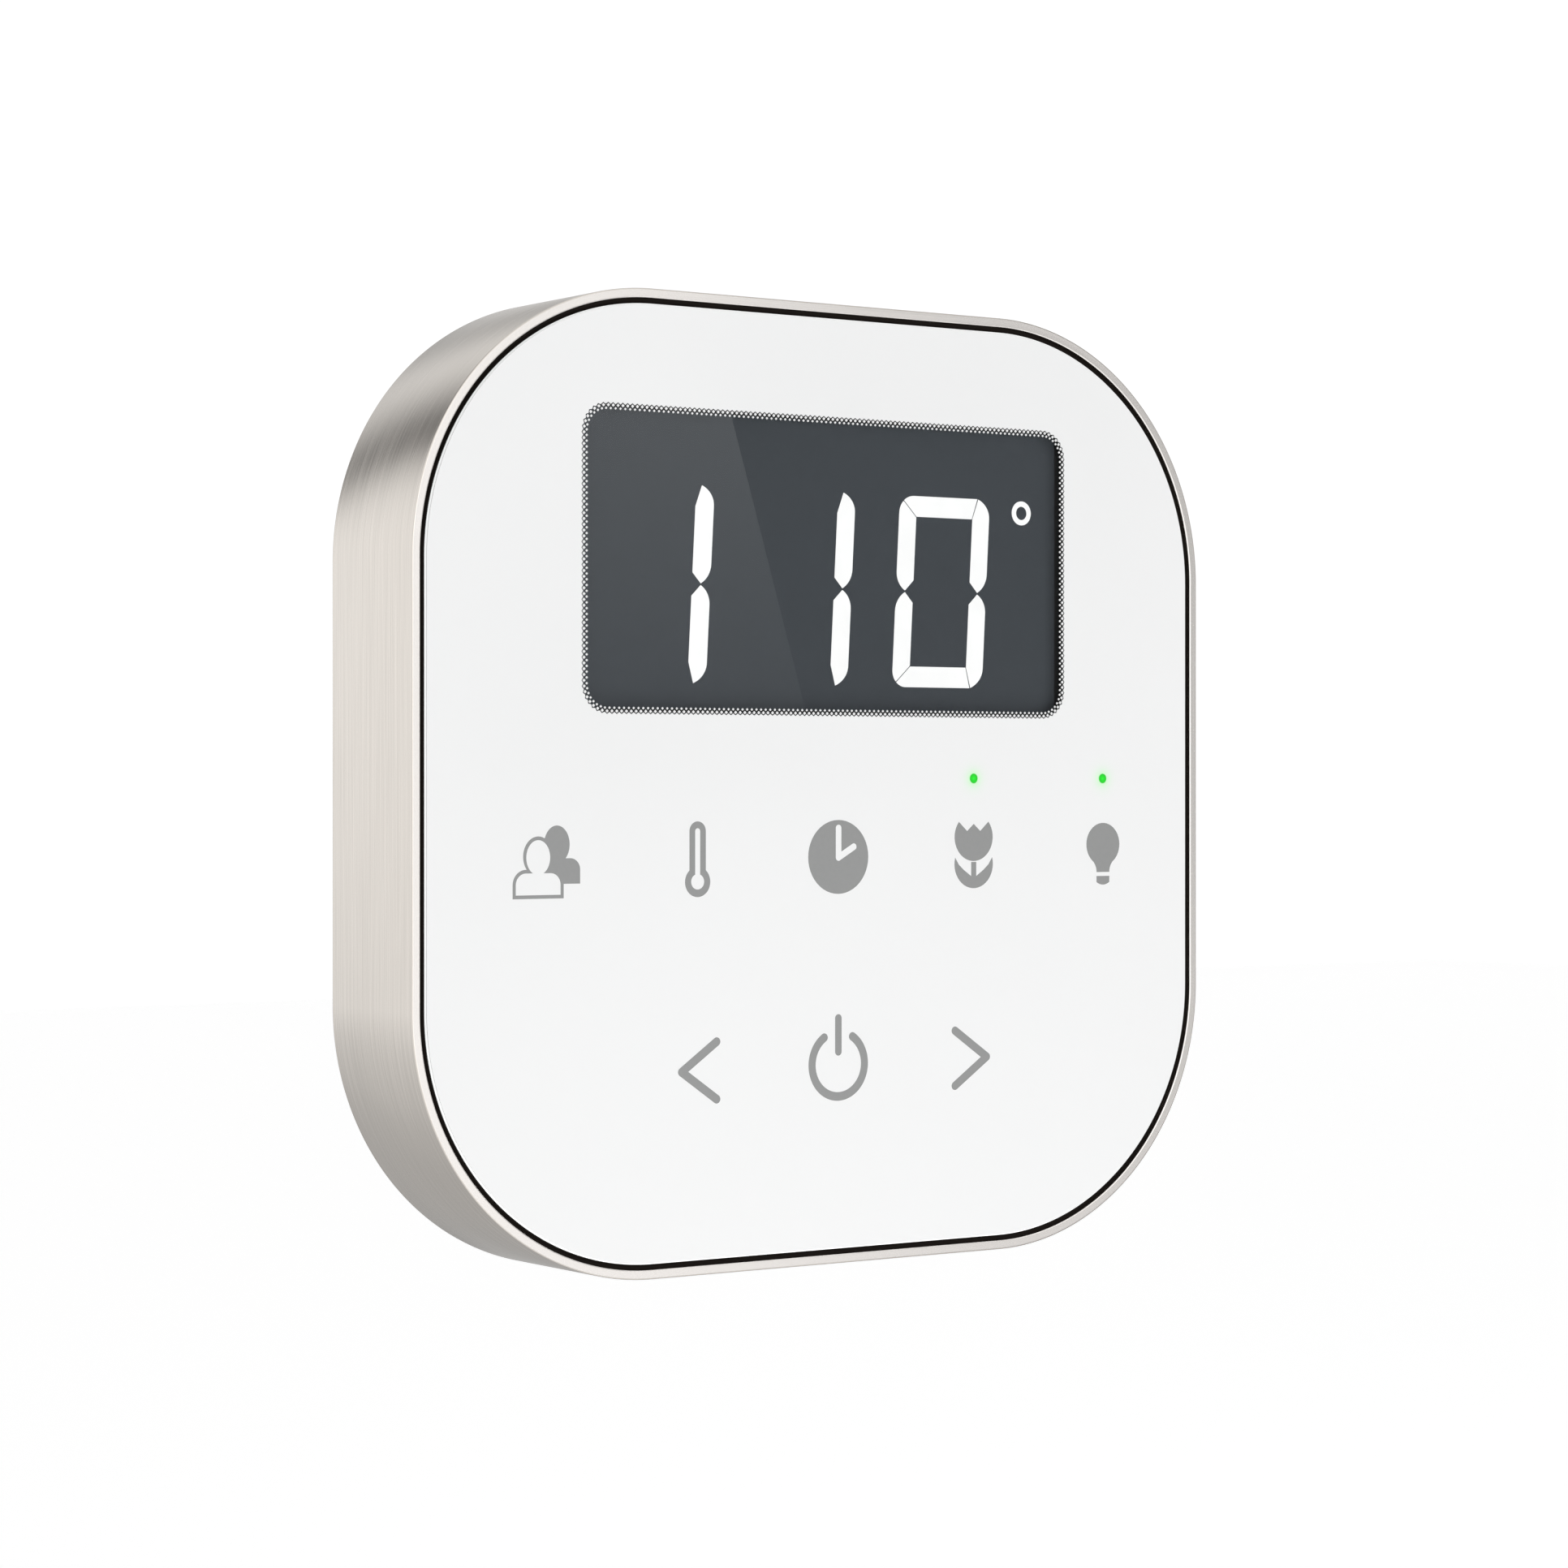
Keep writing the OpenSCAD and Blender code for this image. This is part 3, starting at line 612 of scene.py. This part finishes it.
def dress_nodes():
    """Gives each CAD node that stays its own material."""
    black = moulded("black_moulding", (0.006, 0.006, 0.007), 0.5)
    white = moulded("white_moulding", (0.78, 0.78, 0.77), 0.48)
    steel = brushed("screw_steel", (0.62, 0.62, 0.63), 0.28, along=(1, 1, 0.15))
    tin = brushed("tin_shield", (0.66, 0.66, 0.64), 0.32, along=(0.1, 1, 1))
    amber = glossy_print("amber_ribbon", (0.42, 0.21, 0.05), 0.3)
    chip = moulded("black_chip", (0.022, 0.022, 0.025), 0.55, grain=0.2 * MM)
    looks = {
        "touch_icons": glossy_print("grey_print", (0.255, 0.258, 0.256)),
        "indicator_dots": lamp_material(),
        "glass_tape": moulded("grey_tape", (0.16, 0.16, 0.16), 0.8),
        "touch_film": glossy_print("amber_film", (0.5, 0.4, 0.18), 0.3),
        "touch_ribbon": amber,
        "lcd_ribbon": amber,
        "inner_frame": moulded("dark_moulding", (0.03, 0.03, 0.032), 0.5),
        "lcd_panel": glossy_print("slate_lcd", (0.055, 0.061, 0.069), 0.5, 1.0),
        "display_digits": lit_material("lit_digits", (1.0, 1.0, 1.0), 0.9, (0.12, 0.12, 0.12)),
        "lcd_bezel": black,
        "backlight": moulded("white_guide", (0.85, 0.86, 0.86), 0.3),
        "light_pipes": glossy_print("clear_pipe", (0.75, 0.82, 0.78), 0.1),
        "status_leds": glossy_print("led_body", (0.7, 0.8, 0.62), 0.25),
        "main_board": board_material(),
        "processor": chip,
        "buzzer": chip,
        "switch_plunger": chip,
        "radio_module": tin,
        "pairing_switch": tin,
        "temperature_sensor": glossy_print("brown_bead", (0.16, 0.07, 0.025), 0.3),
        "board_screws": steel,
        "cover_screws": steel,
        "rear_gasket": moulded("black_seal", (0.012, 0.012, 0.012), 0.7),
        "rear_cover": white,
        "battery_door": white,
        "magnets": brushed("magnet_nickel", (0.72, 0.71, 0.69), 0.18, along=(1, 1, 1)),
        "batteries": battery_material(),
        "battery_contacts": brushed("contact_nickel", (0.72, 0.64, 0.46), 0.3, along=(1, 1, 0.1)),
        "pairing_button": moulded("grey_button", (0.2, 0.205, 0.21), 0.45),
        "wall_plate": moulded("plate_grey", (0.5, 0.505, 0.505), 0.5),
        "keeper_discs": brushed("keeper_steel", (0.55, 0.55, 0.55), 0.3, along=(1, 1, 0.1)),
    }
    for name, look in looks.items():
        nodes[name].data.materials.clear()
        nodes[name].data.materials.append(look)


# ---- stage, light and camera ----

CAMERA_AT = Vector((-248.3 * MM, FRONT - 346.9 * MM, 0.3 * MM))
CAMERA_YAW = 0.609
CAMERA_PITCH = -0.00074
CAMERA_LENS = 89.55
FLOOR_HALF = 6.0
FLOOR_Z = -0.4


def floor():
    """A plain pale floor, well below the control."""
    corners = ((-1, -1), (1, -1), (1, 1), (-1, 1))
    mesh = bpy.data.meshes.new("floor")
    mesh.from_pydata([(x * FLOOR_HALF, y * FLOOR_HALF, FLOOR_Z) for x, y in corners], [], [(0, 1, 2, 3)])
    obj = bpy.data.objects.new("floor", mesh)
    bpy.context.scene.collection.objects.link(obj)
    mat, _, shader = new_material("pale_floor", (0.9, 0.9, 0.9), 0.8)
    shader.inputs["Emission Color"].default_value = (1, 1, 1, 1)
    shader.inputs["Emission Strength"].default_value = 0.45
    mesh.materials.append(mat)
    obj.visible_glossy = False


# Brightness of the studio behind the object, by the angle round the Y axis from -X: one list of
# (degrees, level) for the directions above the object and one for those below.
BACK_ABOVE = ((0, 1.0), (20, 1.0), (32, 0.94), (42, 0.68), (51, 0.27), (58, 0.18), (64, 0.22),
              (74, 0.48), (84, 0.71), (94, 0.81), (103, 0.78), (113, 0.60), (124, 0.47), (134, 0.46),
              (152, 0.74), (180, 0.95))
BACK_BELOW = ((0, 1.0), (12, 0.84), (25, 0.70), (40, 0.63), (60, 0.53), (80, 0.48), (100, 0.47),
              (125, 0.44), (142, 0.45), (160, 0.60), (180, 0.95))

# Ahead of the glass, by the direction's x and z: bright on the left and dim on the right. A dark
# flag stands where the window mirrors it, and in front of the flag a card with a slanting right
# edge that fades towards the horizon. Soft light comes from an even level instead, which is
# brighter well below the horizon.
AHEAD_LEFT = 0.92
AHEAD_RIGHT = 0.36
AHEAD_TURN = (0.53, 0.675)
AHEAD_DIFFUSE = 0.5
BELOW_DIFFUSE = 0.9
HORIZON = 0.17
FLAG_LEVEL = 0.12
FLAG_X = (0.52, 0.64)
FLAG_Z = (0.0, 0.105)
FLAG_SOFT = 0.02
CARD_LEVEL = 0.95
# Two points (x, z) on the glass where the card's slanting edge is mirrored
CARD_EDGE = ((-13.2 * MM, 39.4 * MM), (-3.5 * MM, 8.0 * MM))
CARD_FADE = 10.0
CARD_START = -0.003
# What the camera sees behind the object, a little over white
BACKDROP = 1.05


def back_level(tree, x, z):
    """The studio's brightness behind the object, from two given lists."""
    angle = math_node(tree, "ARCTAN2", z, math_node(tree, "MULTIPLY", x, -1.0))
    place = math_node(tree, "MULTIPLY_ADD", angle, 0.5 / math.pi)
    place.node.inputs[2].default_value = 0.5
    node = add(tree, "ShaderNodeValToRGB")
    stops = [(0.5 - d / 360, v) for d, v in reversed(BACK_BELOW[1:])]
    stops += [(0.5 + d / 360, v) for d, v in BACK_ABOVE]
    node.color_ramp.interpolation = "EASE"
    while len(node.color_ramp.elements) < len(stops):
        node.color_ramp.elements.new(0.5)
    for element, (at, value) in zip(node.color_ramp.elements, stops):
        element.position = at
    for element, (at, value) in zip(node.color_ramp.elements, stops):
        element.color = (value, value, value, 1)
    tree.links.new(place, node.inputs["Fac"])
    return node.outputs["Color"]


def within(tree, value, low, high):
    """1 between low and high, falling softly to 0 outside."""
    rise = math_node(tree, "SUBTRACT", value, low)
    fall = math_node(tree, "SUBTRACT", high, value)
    inside = math_node(tree, "DIVIDE", math_node(tree, "MINIMUM", rise, fall), FLAG_SOFT)
    return math_node(tree, "ADD", inside, 1.0, clamp=True)


def step_between(tree, value, low, high):
    """0 below low, 1 above high and smooth between."""
    node = add(tree, "ShaderNodeMapRange", interpolation_type="SMOOTHSTEP")
    node.inputs["From Min"].default_value = low
    node.inputs["From Max"].default_value = high
    tree.links.new(value, node.inputs["Value"])
    return node.outputs["Result"]


def blend_levels(tree, fac, a, b):
    """From a at 0 to b at 1, where each is a number or a socket."""
    node = add(tree, "ShaderNodeMix", data_type="FLOAT")
    for name, value in (("Factor", fac), ("A", a), ("B", b)):
        if isinstance(value, (int, float)):
            node.inputs[name].default_value = value
        else:
            tree.links.new(value, node.inputs[name])
    return node.outputs["Result"]


def world():
    """A white studio, with its own evened-out level for soft light."""
    scene_world = bpy.data.worlds.new("studio")
    bpy.context.scene.world = scene_world
    scene_world.use_nodes = True
    tree = scene_world.node_tree
    background = tree.nodes["Background"]
    direction = add(tree, "ShaderNodeTexCoord").outputs["Generated"]
    split = add(tree, "ShaderNodeSeparateXYZ")
    tree.links.new(direction, split.inputs[0])
    x, y, z = split.outputs
    path = add(tree, "ShaderNodeLightPath")
    edge = add(tree, "ShaderNodeVectorMath", operation="DOT_PRODUCT")
    tree.links.new(direction, edge.inputs[0])
    edge.inputs[1].default_value = slanting_edge()
    left = math_node(tree, "LESS_THAN", edge.outputs["Value"], 0.0)
    rise = math_node(tree, "MULTIPLY", math_node(tree, "SUBTRACT", z, CARD_START), CARD_FADE, clamp=True)
    card = math_node(tree, "MULTIPLY", math_node(tree, "MULTIPLY", left, rise), CARD_LEVEL)
    flag = math_node(tree, "MULTIPLY", within(tree, x, *FLAG_X), within(tree, z, *FLAG_Z))
    mirrored = blend_levels(tree, step_between(tree, x, *AHEAD_TURN), AHEAD_LEFT, AHEAD_RIGHT)
    mirrored = blend_levels(tree, flag, mirrored, math_node(tree, "ADD", card, FLAG_LEVEL))
    upward = step_between(tree, z, -3 * HORIZON, -HORIZON)
    diffuse = blend_levels(tree, upward, BELOW_DIFFUSE, AHEAD_DIFFUSE)
    ahead_level = blend_levels(tree, path.outputs["Is Diffuse Ray"], mirrored, diffuse)
    ahead = math_node(tree, "LESS_THAN", y, 0.0)
    level = blend_levels(tree, ahead, back_level(tree, x, z), ahead_level)
    seen = math_node(tree, "MULTIPLY", path.outputs["Is Camera Ray"], BACKDROP)
    level = math_node(tree, "MAXIMUM", level, seen)
    background.inputs["Color"].default_value = (1, 1, 1, 1)
    tree.links.new(level, background.inputs["Strength"])


def slanting_edge():
    """Normal of the plane through the mirrored camera and the slanting line on the glass."""
    upper, lower = (Vector((x, FRONT, z)) - CAMERA_AT for x, z in CARD_EDGE)
    upper.y *= -1
    lower.y *= -1
    normal = upper.cross(lower).normalized()
    return normal if normal.x > 0 else -normal


def area_light(name, azimuth, elevation, distance, size, power, glossy=True):
    """A square soft light that points at the object. Azimuth is to the right of straight ahead."""
    a = math.radians(azimuth)
    e = math.radians(elevation)
    data = bpy.data.lights.new(name, "AREA")
    data.size = size
    data.energy = power
    obj = bpy.data.objects.new(name, data)
    obj.location = Vector((math.sin(a) * math.cos(e), -math.cos(a) * math.cos(e), math.sin(e))) * distance
    obj.rotation_euler = (-obj.location).to_track_quat("-Z", "Y").to_euler()
    obj.visible_camera = False
    obj.visible_glossy = glossy
    bpy.context.scene.collection.objects.link(obj)


def lights():
    """A key light from the right, a softbox ahead of the face and a fill from below."""
    area_light("key_right", azimuth=50, elevation=3, distance=2.0, size=0.25, power=13.0, glossy=False)
    area_light("softbox", azimuth=3, elevation=6, distance=1.5, size=1.0, power=2.0)
    area_light("low_fill", azimuth=0, elevation=-62, distance=0.42, size=0.25, power=0.6, glossy=False)


def camera():
    """A long lens, from the left of the front."""
    data = bpy.data.cameras.new("camera")
    data.lens = CAMERA_LENS
    data.sensor_width = 36
    data.clip_start = 0.01
    data.clip_end = 50
    obj = bpy.data.objects.new("camera", data)
    obj.location = CAMERA_AT
    forward = Vector((math.sin(CAMERA_YAW), math.cos(CAMERA_YAW), CAMERA_PITCH))
    obj.rotation_euler = forward.to_track_quat("-Z", "Y").to_euler()
    bpy.context.scene.collection.objects.link(obj)
    bpy.context.scene.camera = obj


brushed_ring()
gap_seal()
glass_sheet()
face_print()
dress_nodes()
floor()
world()
lights()
camera()
bpy.context.scene.view_settings.view_transform = "Standard"
